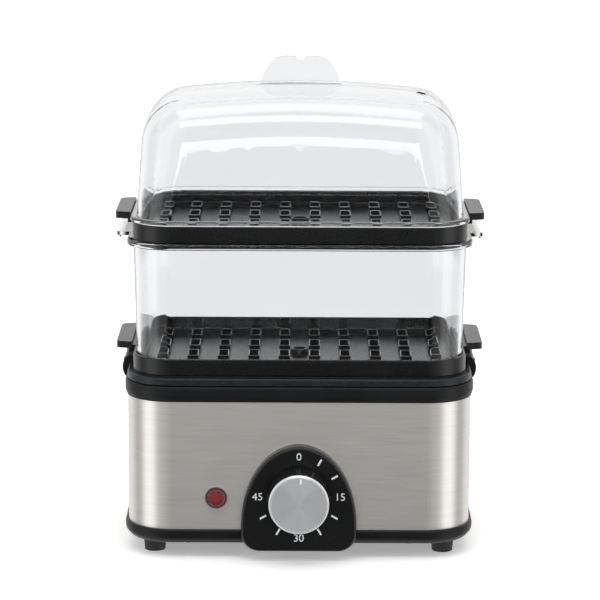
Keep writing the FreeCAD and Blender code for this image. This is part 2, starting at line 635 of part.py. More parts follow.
def make_grip(top, reach):
    """Right-hand grip plate beside a rim: stepped up at its root, rounded at its outer corners."""
    half = GRIP_HALF_LENGTH
    inside = 101.2
    corners = [(inside, -half, 0), (reach, -half + 2.0, 2.5), (reach, half - 2.0, 5.0), (inside, half, 0)]
    plate_wire = rounded_wire(corners, lambda x, y: Vector(x, y, top + GRIP_RISE - GRIP_THICK))
    plate = Part.Face(plate_wire).extrude(UP * GRIP_THICK)
    root = block((TRAY_WIDTH / 2 - 1.0, -half + 0.6, top - 4.4), (inside + 1.8, half - 0.6, top - 0.2))
    return plate.fuse(root).removeSplitter()


def chimney_places():
    """Centres of the raised steam slots, in a grid of columns and rows."""
    xs = [(i - (CHIMNEY_COLUMNS - 1) / 2) * CHIMNEY_PITCH_X for i in range(CHIMNEY_COLUMNS)]
    ys = [(j - (CHIMNEY_ROWS - 1) / 2) * CHIMNEY_PITCH_Y for j in range(CHIMNEY_ROWS)]
    return [(x, y) for x in xs for y in ys]


def rounded_bar(x, y, width, length, corner, bottom, top):
    """Upright bar with a rounded rectangular outline, centred on (x, y)."""
    half_x = width / 2
    half_y = length / 2
    corners = [(x - half_x, y - half_y, corner), (x + half_x, y - half_y, corner),
               (x + half_x, y + half_y, corner), (x - half_x, y + half_y, corner)]
    return Part.Face(rounded_wire(corners, lambda u, v: Vector(u, v, bottom))).extrude(UP * (top - bottom))


def make_tray(top):
    """Steaming tray with its rim at the given height: skirt, ledge, locating rib, slots and grips."""
    outer = (TRAY_WIDTH - SHELL_WIDTH) / 2
    floor_bottom = top - TRAY_FLOOR - TRAY_FLOOR_THICK
    inner = outer - TRAY_WALL
    wall = ring([(outer, top - TRAY_SKIRT, 0.4), (outer, top, 0.7), (inner, top, 0.4),
                 (inner, top - TRAY_LEDGE, 0), (TRAY_LEDGE_IN, top - TRAY_LEDGE, 0.5),
                 (TRAY_LEDGE_IN, top - TRAY_FLOOR, 0), (TRAY_RIB_IN, top - TRAY_FLOOR, 0),
                 (TRAY_RIB_IN, top - TRAY_RIB, 0), (TRAY_RIB_OUT, top - TRAY_RIB, 0.5),
                 (TRAY_RIB_OUT, top - TRAY_SKIRT, 0)])
    floor = slab(SHELL_WIDTH - 16.6, floor_bottom, top - TRAY_FLOOR)
    raised = [rounded_bar(x, y, CHIMNEY_WIDTH, CHIMNEY_LENGTH, 1.6, floor_bottom, top - CHIMNEY_TOP)
              for x, y in chimney_places()]
    openings = [rounded_bar(x, y, CHIMNEY_WIDTH - 2 * CHIMNEY_WALL, CHIMNEY_LENGTH - 2 * CHIMNEY_WALL, 1.0,
                            floor_bottom - 1, top) for x, y in chimney_places()]
    boss_foot = Vector(0, 0, top - TRAY_FLOOR)
    boss = Part.makeCone(BOSS_FOOT_RADIUS, BOSS_RADIUS, TRAY_FLOOR - CHIMNEY_TOP, boss_foot, UP)
    recess = rod(0, 0, top - CHIMNEY_TOP - 1.6, top, BOSS_RADIUS - 1.0)
    grip = make_grip(top, GRIP_REACH)
    solids = [floor, boss, grip, grip.mirror(ORIGIN, ACROSS)] + raised
    return [wall.fuse(solids).cut(openings + [recess])]


# Clear parts

def make_chamber():
    """Clear lower-tier wall, open above and below, with a flange and two ribbed grips."""
    bottom = (CHAMBER_BOTTOM_WIDTH - SHELL_WIDTH) / 2
    top = (CHAMBER_TOP_WIDTH - SHELL_WIDTH) / 2
    flange = (FLANGE_WIDTH - SHELL_WIDTH) / 2
    wall = ring([(bottom, CHAMBER_BOTTOM, 0.6), (top, FLANGE_BOTTOM, 0), (flange, FLANGE_BOTTOM, 0.8),
                 (flange, FLANGE_TOP, 1.2), (top - CLEAR_WALL, FLANGE_TOP, 0.6),
                 (bottom - CLEAR_WALL, CHAMBER_BOTTOM, 0.6)])
    reach = CHAMBER_GRIP_REACH
    half = GRIP_HALF_LENGTH - 1.0
    inside = 100.5
    corners = [(inside, -half, 0), (reach, -half + 1.5, 2.5), (reach, half - 1.5, 2.5), (inside, half, 0)]
    plate_wire = rounded_wire(corners, lambda x, y: Vector(x, y, FLANGE_TOP - 2.4))
    plate = Part.Face(plate_wire).extrude(UP * 2.2)
    rib = block((reach - 2.4, -half + 4.0, FLANGE_BOTTOM - 0.2), (reach - 0.4, half - 4.0, FLANGE_TOP - 2.2))
    grip = plate.fuse(rib).removeSplitter()
    return [wall.fuse([grip, grip.mirror(ORIGIN, ACROSS)])]


def lid_form(inset):
    """Solid bell of the lid: tapered walls, a roof crowned both ways and a wide shoulder."""
    low = LID_FLANGE_BOTTOM - (1.0 if inset else 0.0)
    foot = outline(LID_WALL_WIDTH - 2 * inset, low)
    head = outline(LID_LOFT_WIDTH - 2 * inset, LID_LOFT_TOP, LID_LOFT_CORNER - inset)
    walls = Part.makeLoft([foot, head], True, True)
    hub = Vector(0, 0, LID_CROWN - LID_CROWN_RADIUS_X)
    crown = Part.makeTorus(LID_CROWN_RADIUS_X - LID_CROWN_RADIUS_Y, LID_CROWN_RADIUS_Y - inset, hub, BACK)
    bell = walls.common(crown)
    roof = max(bell.Faces, key=lambda face: face.CenterOfMass.z)
    return bell.makeFillet(LID_SHOULDER - inset, roof.Edges)


def make_lid_tab():
    """Upright grip plate on the roof: elliptical shoulders that end at the foot, flat top, small notch."""
    front = -TAB_THICK / 2
    peak = Vector(TAB_FLAT, front, TAB_TOP)
    spring = Vector(TAB_FLAT, front, TAB_SPRING)
    ellipse = Part.Ellipse(peak, Vector(TAB_HALF_WIDTH, front, TAB_SPRING), spring)
    sweep = math.acos((TAB_FOOT - TAB_SPRING) / (TAB_TOP - TAB_SPRING))
    shoulder = Part.ArcOfEllipse(ellipse, 0, sweep).toShape()
    foot_x = TAB_FLAT + (TAB_HALF_WIDTH - TAB_FLAT) * math.sin(sweep)
    notch_z = TAB_TOP - NOTCH_DEPTH
    points = [(TAB_FLAT, TAB_TOP), (NOTCH_TOP, TAB_TOP), (NOTCH_FOOT, notch_z), (0, notch_z),
              (0, TAB_FOOT), (foot_x, TAB_FOOT)]
    path = [Vector(x, front, z) for x, z in points]
    edges = [Part.LineSegment(a, b).toShape() for a, b in zip(path, path[1:])]
    half = Part.Face(Part.Wire(Part.__sortEdges__([shoulder] + edges))).extrude(BACK * TAB_THICK)
    return half.fuse(half.mirror(ORIGIN, ACROSS)).removeSplitter()


def make_lid():
    """Clear lid: flange on the tray's rim, a lip inside it, the bell, the tab and a steam vent."""
    flange = (LID_FLANGE_WIDTH - SHELL_WIDTH) / 2
    wall = (LID_WALL_WIDTH - SHELL_WIDTH) / 2
    inner = wall - CLEAR_WALL
    lip_foot = LID_FLANGE_BOTTOM - 2.8
    rim = ring([(flange, LID_FLANGE_BOTTOM, 0.8), (flange, LID_FLANGE_TOP, 1.2), (wall - 0.6, LID_FLANGE_TOP, 0),
                (inner, LID_FLANGE_TOP, 0), (inner, lip_foot, 0.5), (wall + 0.2, lip_foot, 0.5),
                (wall + 0.2, LID_FLANGE_BOTTOM, 0)])
    shell = lid_form(0).cut(lid_form(CLEAR_WALL))
    vent = rod(VENT_X, VENT_Y, 240, 300, VENT_RADIUS)
    return [shell.fuse([rim, make_lid_tab()]).cut(vent)]


def all_nodes():
    """Every node's solids, by node name."""
    nodes = {
        "rubber_feet": make_rubber_feet(),
        "base_tray": make_base_tray(),
        "base_screws": make_base_screws(),
        "steel_shell": make_steel_shell(),
        "top_collar": make_top_collar(),
        "heater_plate": make_heater_plate(),
        "heating_element": make_heating_element(),
        "heater_standoffs": make_standoffs(),
        "heater_screws": make_heater_screws(),
        "heat_shield": make_heat_shield(),
        "thermostat": make_thermostat(),
        "thermal_fuse": make_thermal_fuse(),
        "fuse_clamp": make_fuse_clamp(),
        "dial_panel": make_dial_panel(),
        "panel_screws": make_panel_screws(),
        "timer_bracket": make_timer_bracket(),
        "timer_body": make_timer_body(),
        "timer_bell": make_timer_bell(),
        "timer_shaft": make_timer_shaft(),
        "knob_skirt": make_knob_skirt(),
        "knob_cap": make_knob_cap(),
        "indicator_lens": make_indicator_lens(),
        "indicator_lamp": make_indicator_lamp(),
        "cord_gland": make_cord_gland(),
        "terminal_block": make_terminal_block(),
        "pan": make_pan(),
        "pan_handles": make_pan_handles(),
        "handle_screws": make_handle_screws(),
        "lower_tray": make_tray(LOWER_TRAY_TOP),
        "chamber": make_chamber(),
        "upper_tray": make_tray(UPPER_TRAY_TOP),
        "lid": make_lid(),
    }
    nodes.update(make_leads())
    return nodes


def main():
    """Write one STEP file per node, moved so that the origin is the footprint's centre."""
    os.makedirs("parts", exist_ok=True)
    to_centre = BACK * (-(KNOB_FACE + GLAND_REACH) / 2)
    for name, solids in all_nodes().items():
        pieces = [solid for shape in solids for solid in shape.Solids]
        shape = pieces[0] if len(pieces) == 1 else Part.makeCompound(pieces)
        shape.translate(to_centre)
        shape.exportStep(os.path.join("parts", name + ".step"))
        print(f"{name}: {len(pieces)} solid(s), valid {shape.isValid()}, {shape.Volume / 1000:.2f} cm3")


main()
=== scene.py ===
"""Looks of a two-tier egg cooker: steel base, black trays, clear chamber and clear lid, in a white studio."""

import logging
import math
from dataclasses import dataclass, field
from enum import Enum
from typing import Callable, ClassVar, Sequence

import bmesh
import bpy
from mathutils import Matrix, Vector


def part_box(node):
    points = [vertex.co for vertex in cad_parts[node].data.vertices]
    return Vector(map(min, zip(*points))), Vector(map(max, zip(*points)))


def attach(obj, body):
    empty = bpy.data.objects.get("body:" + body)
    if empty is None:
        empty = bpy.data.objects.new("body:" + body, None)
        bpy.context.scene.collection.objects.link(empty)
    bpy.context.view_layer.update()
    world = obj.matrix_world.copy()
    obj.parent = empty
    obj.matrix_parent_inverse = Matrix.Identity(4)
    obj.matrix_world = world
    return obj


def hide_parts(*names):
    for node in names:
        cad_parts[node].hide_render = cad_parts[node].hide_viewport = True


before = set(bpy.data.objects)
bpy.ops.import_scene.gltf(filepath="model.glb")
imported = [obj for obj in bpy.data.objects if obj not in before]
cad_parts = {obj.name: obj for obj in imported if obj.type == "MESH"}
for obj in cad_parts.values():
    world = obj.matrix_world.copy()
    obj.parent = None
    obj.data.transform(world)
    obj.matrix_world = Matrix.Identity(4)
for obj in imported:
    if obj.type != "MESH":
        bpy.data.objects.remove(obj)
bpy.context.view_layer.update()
LOG = logging.getLogger("egg_cooker")
MM = 0.001
Point = tuple[float, float, float]
Colour = tuple[float, float, float]


class Body(str, Enum):
    """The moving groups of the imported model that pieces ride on."""

    BASE = "base"
    KNOB = "knob"
    PAN = "water_pan"
    LOWER = "lower_tier"
    CHAMBER = "chamber_wall"
    UPPER = "upper_tier"
    LID = "lid_cover"


class Axis(str, Enum):
    """Object axis that a turned or wound pattern runs round."""

    X = "X"
    Y = "Y"
    Z = "Z"


# Finishes


class Shader:
    """A material's node tree with the few joins that the finishes need."""

    def __init__(self, name: str) -> None:
        """Start a material with one Principled shader.

        Args:
            name: The material's name.
        """
        self.material = bpy.data.materials.new(name)
        self.material.use_nodes = True
        self.nodes = self.material.node_tree.nodes
        self.links = self.material.node_tree.links
        self.surface = self.nodes["Principled BSDF"]

    def set(self, **values: object) -> None:
        """Set sockets of the Principled shader, with spaces in their names written as underscores."""
        for key, value in values.items():
            self.surface.inputs[key.replace("_", " ")].default_value = value

    def add(self, kind: str, **settings: object) -> bpy.types.Node:
        """Add a node and set its properties.

        Args:
            kind: Node type without the ShaderNode prefix.
            settings: Node properties; names of inputs are given with an in_ prefix.

        Returns:
            The new node.
        """
        node = self.nodes.new("ShaderNode" + kind)
        for key, value in settings.items():
            if key.startswith("in_"):
                node.inputs[key[3:].replace("_", " ")].default_value = value
            else:
                setattr(node, key, value)
        return node

    def join(self, source: bpy.types.NodeSocket, target: bpy.types.NodeSocket) -> None:
        """Link one socket to another."""
        self.links.new(source, target)

    def placed(self, scale: Point, centre: Point = (0.0, 0.0, 0.0)) -> bpy.types.NodeSocket:
        """Object coordinates, centred and scaled.

        Args:
            scale: How much finer the pattern is along each axis.
            centre: The point that becomes the pattern's centre.

        Returns:
            The vector socket to feed to a texture.
        """
        where = self.add("TexCoord")
        offset = tuple(-c * s for c, s in zip(centre, scale))
        mapping = self.add("Mapping", in_Scale=scale, in_Location=offset)
        self.join(where.outputs["Object"], mapping.inputs["Vector"])
        return mapping.outputs["Vector"]

    def noise(self, scale: Point, detail: float = 3.0, roughness: float = 0.5) -> bpy.types.NodeSocket:
        """Noise value on object coordinates.

        Args:
            scale: Pattern repeats per metre along each axis.
            detail: Octaves of the noise.
            roughness: Weight of the finer octaves.

        Returns:
            The value socket, around one half.
        """
        texture = self.add("TexNoise", in_Scale=1.0, in_Detail=detail, in_Roughness=roughness)
        self.join(self.placed(scale), texture.inputs["Vector"])
        return texture.outputs["Fac"]

    def spread(self, value: bpy.types.NodeSocket, low: float, high: float, target: str) -> None:
        """Map a value around one half to a range on one of the surface's sockets.

        Args:
            value: The pattern.
            low: Result where the pattern is low.
            high: Result where the pattern is high.
            target: Name of the surface's socket.
        """
        ranged = self.add("MapRange")
        for name, number in (("From Min", 0.3), ("From Max", 0.7), ("To Min", low), ("To Max", high)):
            ranged.inputs[name].default_value = number
        self.join(value, ranged.inputs["Value"])
        self.join(ranged.outputs["Result"], self.surface.inputs[target])

    def tint(self, value: bpy.types.NodeSocket, dark: Colour, light: Colour) -> None:
        """Colour the surface between two colours by a pattern.

        Args:
            value: The pattern.
            dark: Colour where the pattern is low.
            light: Colour where the pattern is high.
        """
        ramp = self.add("ValToRGB")
        ramp.color_ramp.elements[0].position = 0.3
        ramp.color_ramp.elements[1].position = 0.7
        ramp.color_ramp.elements[0].color = (*dark, 1.0)
        ramp.color_ramp.elements[1].color = (*light, 1.0)
        self.join(value, ramp.inputs["Fac"])
        self.join(ramp.outputs["Color"], self.surface.inputs["Base Color"])

    def bump(self, value: bpy.types.NodeSocket, strength: float, distance: float) -> None:
        """Raise the surface by a pattern.

        Args:
            value: The height pattern.
            strength: How strongly it shows.
            distance: Height of the pattern in metres.
        """
        raised = self.add("Bump", in_Strength=strength, in_Distance=distance)
        self.join(value, raised.inputs["Height"])
        self.join(raised.outputs["Normal"], self.surface.inputs["Normal"])

    def wound(self, axis: Axis) -> None:
        """Stretch highlights across tool marks that run round an axis."""
        tangent = self.add("Tangent", direction_type="RADIAL", axis=axis.value)
        self.join(tangent.outputs["Tangent"], self.surface.inputs["Tangent"])


@dataclass(frozen=True)
class Finish:
    """A finish that makes its material once and hands it out again."""

    name: str
    cache: ClassVar[dict[str, bpy.types.Material]] = {}

    def build(self, shader: Shader) -> None:
        """Fill in the shader; each kind of finish has its own."""
        raise NotImplementedError

    def material(self) -> bpy.types.Material:
        """The finish's material, made at the first call."""
        if self.name not in Finish.cache:
            shader = Shader(self.name)
            self.build(shader)
            Finish.cache[self.name] = shader.material
        return Finish.cache[self.name]

    def dress(self, piece: bpy.types.Object) -> None:
        """Make this the only finish of a piece."""
        piece.data.materials.clear()
        piece.data.materials.append(self.material())


@dataclass(frozen=True)
class Moulded(Finish):
    """Moulded plastic or rubber: fine grain in colour, gloss and relief."""

    dark: Colour = (0.02, 0.02, 0.02)
    light: Colour = (0.03, 0.03, 0.03)
    gloss: tuple[float, float] = (0.35, 0.5)
    grain: float = 1400.0
    relief: float = 0.00002
    coat: float = 0.0
    sheen_level: float = 0.5

    def build(self, shader: Shader) -> None:
        """Broad colour variation, with a fine moulded grain."""
        shader.tint(shader.noise((45.0,) * 3, 4.0), self.dark, self.light)
        grain = shader.noise((self.grain,) * 3, 2.0)
        shader.spread(grain, self.gloss[0], self.gloss[1], "Roughness")
        shader.bump(grain, 0.35, self.relief)
        shader.set(Coat_Weight=self.coat, Coat_Roughness=0.12, Specular_IOR_Level=self.sheen_level)


@dataclass(frozen=True)
class Brushed(Finish):
    """Sheet metal brushed level, round the body."""

    dark: Colour = (0.74, 0.715, 0.68)
    light: Colour = (0.80, 0.775, 0.74)
    gloss: tuple[float, float] = (0.34, 0.46)

    def build(self, shader: Shader) -> None:
        """Long level scratches at two scales."""
        fine = shader.noise((55.0, 55.0, 3200.0), 4.0, 0.65)
        coarse = shader.noise((30.0, 30.0, 1100.0), 3.0)
        shader.tint(coarse, self.dark, self.light)
        shader.spread(fine, self.gloss[0], self.gloss[1], "Roughness")
        shader.bump(fine, 0.12, 0.000006)
        shader.set(Metallic=1.0, Anisotropic=0.7, Anisotropic_Rotation=0.25)
        shader.wound(Axis.Z)


@dataclass(frozen=True)
class Turned(Finish):
    """Metal faced on a lathe: rings round an axis through a centre."""

    colour: Colour = (0.90, 0.91, 0.93)
    centre: Point = (0.0, 0.0, 0.0)
    pitch: float = 0.0006

    def build(self, shader: Shader) -> None:
        """Concentric tool marks with wound highlights."""
        rings = shader.add("TexWave", wave_type="RINGS", rings_direction="Y",
                           in_Scale=math.pi / 10 / self.pitch,
                           in_Distortion=0.0, in_Detail=2.0)
        shader.join(shader.placed((1.0, 0.0, 1.0), self.centre), rings.inputs["Vector"])
        shader.spread(rings.outputs["Fac"], 0.36, 0.46, "Roughness")
        dark = tuple(0.93 * c for c in self.colour)
        shader.tint(shader.noise((60.0, 60.0, 60.0), 3.0), dark, self.colour)
        shader.bump(rings.outputs["Fac"], 0.12, 0.00001)
        shader.set(Metallic=1.0, Anisotropic=0.8, Anisotropic_Rotation=0.25)
        shader.wound(Axis.Y)


@dataclass(frozen=True)
class Clear(Finish):
    """Clear moulded plastic with faint flow marks."""

    tint_colour: Colour = (0.955, 0.968, 0.985)
    haze: tuple[float, float] = (0.0, 0.003)

    def build(self, shader: Shader) -> None:
        """Refracting, almost colourless, very slightly uneven."""
        flow = shader.noise((22.0, 22.0, 14.0), 2.0)
        dim = tuple(0.985 * c for c in self.tint_colour)
        shader.tint(flow, dim, self.tint_colour)
        shader.spread(flow, self.haze[0], self.haze[1], "Roughness")
        shader.bump(flow, 0.05, 0.00002)
        shader.set(Transmission_Weight=1.0, IOR=1.49)


@dataclass(frozen=True)
class Coated(Finish):
    """Mottled blue-black non-stick coating on metal."""

    dark: Colour = (0.003, 0.005, 0.007)
    light: Colour = (0.010, 0.016, 0.020)

    def build(self, shader: Shader) -> None:
        """Speckle in colour, gloss and relief."""
        speckle = shader.noise((420.0, 420.0, 420.0), 5.0, 0.7)
        shader.tint(speckle, self.dark, self.light)
        shader.spread(speckle, 0.28, 0.48, "Roughness")
        shader.bump(speckle, 0.5, 0.00012)
        shader.set(Coat_Weight=0.1, Coat_Roughness=0.2, Specular_IOR_Level=0.3)


@dataclass(frozen=True)
class Metal(Finish):
    """Plain worked metal with a slight unevenness."""

    dark: Colour = (0.55, 0.55, 0.54)
    light: Colour = (0.68, 0.68, 0.67)
    gloss: tuple[float, float] = (0.25, 0.45)
    grain: float = 260.0

    def build(self, shader: Shader) -> None:
        """Clouded tone and gloss over a fine relief."""
        cloud = shader.noise((self.grain,) * 3, 4.0)
        shader.tint(cloud, self.dark, self.light)
        shader.spread(cloud, self.gloss[0], self.gloss[1], "Roughness")
        shader.bump(cloud, 0.2, 0.00004)
        shader.set(Metallic=1.0)


@dataclass(frozen=True)
class LampLens(Finish):
    """Red lens, dark towards its rim, with a stippled middle."""

    centre: Point = (0.0, 0.0, 0.0)
    radius: float = 0.0065

    def build(self, shader: Shader) -> None:
        """Red that darkens outwards, over small cells that sparkle."""
        reach = 1.0 / self.radius
        distance = shader.add("VectorMath", operation="LENGTH")
        shader.join(shader.placed((reach, 0.0, reach), self.centre), distance.inputs[0])
        ramp = shader.add("ValToRGB")
        stops = ((0.0, (0.24, 0.014, 0.018)), (0.45, (0.19, 0.008, 0.012)), (0.74, (0.13, 0.004, 0.007)),
                 (0.80, (0.035, 0.002, 0.003)), (1.0, (0.10, 0.006, 0.008)))
        elements = ramp.color_ramp.elements
        while len(elements) < len(stops):
            elements.new(0.5)
        for element, (position, colour) in zip(elements, stops):
            element.position = position
            element.color = (*colour, 1.0)
        shader.join(distance.outputs["Value"], ramp.inputs["Fac"])
        shader.join(ramp.outputs["Color"], shader.surface.inputs["Base Color"])
        cells = shader.add("TexVoronoi", in_Scale=1.0)
        shader.join(shader.placed((900.0, 900.0, 900.0)), cells.inputs["Vector"])
        shader.bump(cells.outputs["Distance"], 0.6, 0.0004)
        shader.set(Roughness=0.22, Coat_Weight=1.0, Coat_Roughness=0.04, Transmission_Weight=0.15)


BRUSHED_STEEL = Brushed("brushed_steel")
MATTE_BLACK = Moulded("matte_black", dark=(0.003, 0.0034, 0.004), light=(0.006, 0.0065, 0.0075),
                      gloss=(0.36, 0.46), sheen_level=0.25)
PANEL_BLACK = Moulded("panel_black", dark=(0.002, 0.0023, 0.0027), light=(0.004, 0.0044, 0.005),
                      gloss=(0.26, 0.36))
TRAY_BLACK = Moulded("tray_black", dark=(0.0025, 0.0027, 0.0032), light=(0.005, 0.0054, 0.006),
                     gloss=(0.24, 0.32), grain=2200.0, relief=0.00001, sheen_level=0.42)
# Light grey glossy finish for the slot lips: painted highlight along the rims of the black tray's slots.
RIM_PAINTED_HIGHLIGHT = Moulded("rim_painted_highlight", dark=(0.20, 0.21, 0.225), light=(0.27, 0.28, 0.30),
                    gloss=(0.14, 0.2), coat=0.6)
RUBBER = Moulded("foot_rubber", dark=(0.012, 0.012, 0.012), light=(0.02, 0.02, 0.02), gloss=(0.6, 0.75))
PRINT_WHITE = Moulded("dial_print", dark=(0.62, 0.66, 0.69), light=(0.70, 0.74, 0.77), gloss=(0.45, 0.6))
NYLON = Moulded("white_nylon", dark=(0.70, 0.68, 0.62), light=(0.80, 0.78, 0.72), gloss=(0.4, 0.55))
CERAMIC = Moulded("white_ceramic", dark=(0.74, 0.73, 0.68), light=(0.83, 0.82, 0.78),
                  gloss=(0.15, 0.25), coat=0.5)
CLEAR_PLASTIC = Clear("clear_plastic")
PAN_COATING = Coated("pan_coating")
CAST = Metal("cast_aluminium", dark=(0.52, 0.52, 0.53), light=(0.66, 0.66, 0.67), gloss=(0.38, 0.55))
PLATED = Metal("plated_steel")
TINTED = Metal("heat_tinted", dark=(0.16, 0.14, 0.13), light=(0.30, 0.26, 0.23), gloss=(0.35, 0.5))
BELL = Metal("bell_steel", dark=(0.60, 0.57, 0.48), light=(0.70, 0.67, 0.58), gloss=(0.15, 0.3))


def lead_finish(name: str, colour: Colour) -> Moulded:
    """Insulated wire's finish in one colour.

    Args:
        name: The finish's name.
        colour: Its main colour.

    Returns:
        The finish.
    """
    return Moulded(name, dark=tuple(0.8 * c for c in colour), light=colour, gloss=(0.35, 0.45))


CAD_FINISHES: dict[Finish, tuple[str, ...]] = {
    BRUSHED_STEEL: ("steel_shell",),
    MATTE_BLACK: ("base_tray", "top_collar", "pan_handles"),
    PANEL_BLACK: ("dial_panel",),
    TRAY_BLACK: ("lower_tray", "upper_tray"),
    PAN_COATING: ("pan",),
    RUBBER: ("rubber_feet", "cord_gland"),
    CAST: ("heater_plate",),
    TINTED: ("heating_element",),
    BELL: ("timer_bell",),
    CERAMIC: ("thermostat",),
    NYLON: ("timer_body", "terminal_block"),
    PLATED: ("base_screws", "heater_standoffs", "heater_screws", "heat_shield", "thermal_fuse", "fuse_clamp",
             "panel_screws", "timer_bracket", "timer_shaft", "handle_screws"),
    lead_finish("brown_lead", (0.20, 0.09, 0.04)): ("lead_live",),
    lead_finish("blue_lead", (0.05, 0.13, 0.40)): ("lead_neutral",),
    lead_finish("white_lead", (0.82, 0.82, 0.80)): ("lead_timer", "lead_fuse", "lead_element"),
    Moulded("lamp_glass", dark=(0.5, 0.2, 0.1), light=(0.6, 0.3, 0.15), gloss=(0.05, 0.1)): (
        "indicator_lamp",),
}


# Modelling by hand


class Workbench:
    """Edit-mode operators on one mesh object, with selections made by place."""

    def __init__(self, name: str) -> None:
        """Take the active object, name it and enter edit mode.

        Args:
            name: The piece's name.
        """
        self.piece = bpy.context.active_object
        self.piece.name = name
        self.piece.data.name = name
        bpy.ops.object.mode_set(mode="EDIT")
        bpy.ops.mesh.select_all(action="SELECT")

    @staticmethod
    def clear() -> None:
        """Deselect everything, so that a new primitive stands alone."""
        bpy.ops.object.select_all(action="DESELECT")

    @classmethod
    def plane(cls, name: str, centre: Vector, width: float, depth: float) -> "Workbench":
        """Start from a level rectangle.

        Args:
            name: The piece's name.
            centre: Its centre.
            width: Size along X.
            depth: Size along Y.

        Returns:
            The workbench, in edit mode.
        """
        cls.clear()
        bpy.ops.mesh.primitive_plane_add(size=1.0, location=(0, 0, 0))
        bench = cls(name)
        bench.resize((width, depth, 1.0), Vector())
        bench.move(centre)
        return bench

    @classmethod
    def cylinder(cls, name: str, centre: Vector, radius: float, length: float, sides: int) -> "Workbench":
        """Start from a cylinder that lies along Y.

        Args:
            name: The piece's name.
            centre: Its centre.
            radius: Its radius.
            length: Its length along Y.
            sides: Number of sides.

        Returns:
            The workbench, in edit mode.
        """
        cls.clear()
        bpy.ops.mesh.primitive_cylinder_add(vertices=sides, radius=radius, depth=length, location=(0, 0, 0),
                                            rotation=(math.pi / 2, 0, 0))
        bpy.ops.object.transform_apply(location=False, rotation=True, scale=False)
        bench = cls(name)
        bench.move(centre)
        return bench

    def move(self, by: Vector | Point) -> None:
        """Move the selection."""
        bpy.ops.transform.translate(value=by)

    def resize(self, by: Point, about: Vector | Point) -> None:
        """Scale the selection about a point."""
        bpy.ops.transform.resize(value=by, center_override=about)

    def corners(self, radius: float, segments: int) -> None:
        """Round the corners of a flat outline."""
        bpy.ops.mesh.bevel(offset=radius, offset_type="OFFSET", affect="VERTICES", segments=segments,
                           profile=0.5)
        bpy.ops.mesh.select_all(action="SELECT")

    def inset(self, inward: float, rise: float = 0.0) -> None:
        """Move the selected face inward and along its normal.

        Args:
            inward: Distance towards the face's middle.
            rise: Distance along the normal.
        """
        bpy.ops.mesh.inset(thickness=inward, depth=rise)

    def extrude(self, by: Vector | Point) -> None:
        """Extrude the selected region."""
        bpy.ops.mesh.extrude_region_move(TRANSFORM_OT_translate={"value": by})

    def choose_faces(self, test: Callable[[bmesh.types.BMFace], bool]) -> None:
        """Select the faces that pass a test, and nothing else."""
        bpy.ops.mesh.select_mode(type="FACE")
        bpy.ops.mesh.select_all(action="DESELECT")
        mesh = bmesh.from_edit_mesh(self.piece.data)
        for face in mesh.faces:
            face.select_set(test(face))
        bmesh.update_edit_mesh(self.piece.data)

    def choose_edges(self, test: Callable[[bmesh.types.BMEdge], bool]) -> None:
        """Select the edges that pass a test, and nothing else."""
        bpy.ops.mesh.select_mode(type="EDGE")
        bpy.ops.mesh.select_all(action="DESELECT")
        mesh = bmesh.from_edit_mesh(self.piece.data)
        for edge in mesh.edges:
            edge.select_set(test(edge))
        bmesh.update_edit_mesh(self.piece.data)

    def choose_points(self, test: Callable[[Vector], bool]) -> None:
        """Select the vertices whose place passes a test, and nothing else."""
        bpy.ops.mesh.select_mode(type="VERT")
        bpy.ops.mesh.select_all(action="DESELECT")
        mesh = bmesh.from_edit_mesh(self.piece.data)
        for vertex in mesh.verts:
            vertex.select_set(test(vertex.co))
        bmesh.update_edit_mesh(self.piece.data)

    def bevel(self, width: float, segments: int = 3) -> None:
        """Round the selected edges."""
        bpy.ops.mesh.bevel(offset=width, offset_type="OFFSET", affect="EDGES", segments=segments, profile=0.5)

    def finish(self, smooth_degrees: float = 35.0, outward: bool = True) -> bpy.types.Object:
        """Leave edit mode with doubles merged, faces outward and smooth shading.

        Args:
            smooth_degrees: Edges sharper than this stay sharp.
            outward: Whether to recalculate the normals.

        Returns:
            The piece.
        """
        bpy.ops.mesh.select_mode(type="VERT")
        bpy.ops.mesh.select_all(action="SELECT")
        bpy.ops.mesh.remove_doubles(threshold=0.000001)
        if outward:
            bpy.ops.mesh.normals_make_consistent(inside=False)
        bpy.ops.object.mode_set(mode="OBJECT")
        bpy.ops.object.shade_smooth_by_angle(angle=math.radians(smooth_degrees))
        return self.piece


def apply_modifier(piece: bpy.types.Object, kind: str, **settings: object) -> None:
    """Add a modifier to a piece and apply it.

    Args:
        piece: The piece.
        kind: Modifier type.
        settings: The modifier's properties.
    """
    Workbench.clear()
    piece.select_set(True)
    bpy.context.view_layer.objects.active = piece
    modifier = piece.modifiers.new(kind.title(), kind)
    for key, value in settings.items():
        setattr(modifier, key, value)
    bpy.ops.object.modifier_apply(modifier=modifier.name)


def join_pieces(name: str, parts: Sequence[bpy.types.Object]) -> bpy.types.Object:
    """Join pieces into the first of them.

    Args:
        name: Name of the result.
        parts: The pieces.

    Returns:
        The joined piece.
    """
    Workbench.clear()
    for part in parts:
        part.select_set(True)
    bpy.context.view_layer.objects.active = parts[0]
    bpy.ops.object.join()
    parts[0].name = name
    parts[0].data.name = name
    return parts[0]


def copy_piece(original: bpy.types.Object, by: Vector) -> bpy.types.Object:
    """Copy a piece, with its own mesh, to another place.

    Args:
        original: The piece to copy.
        by: How far the copy is moved.

    Returns:
        The copy.
    """
    copy = original.copy()
    copy.data = original.data.copy()
    bpy.context.scene.collection.objects.link(copy)
    copy.data.transform(Matrix.Translation(by))
    return copy


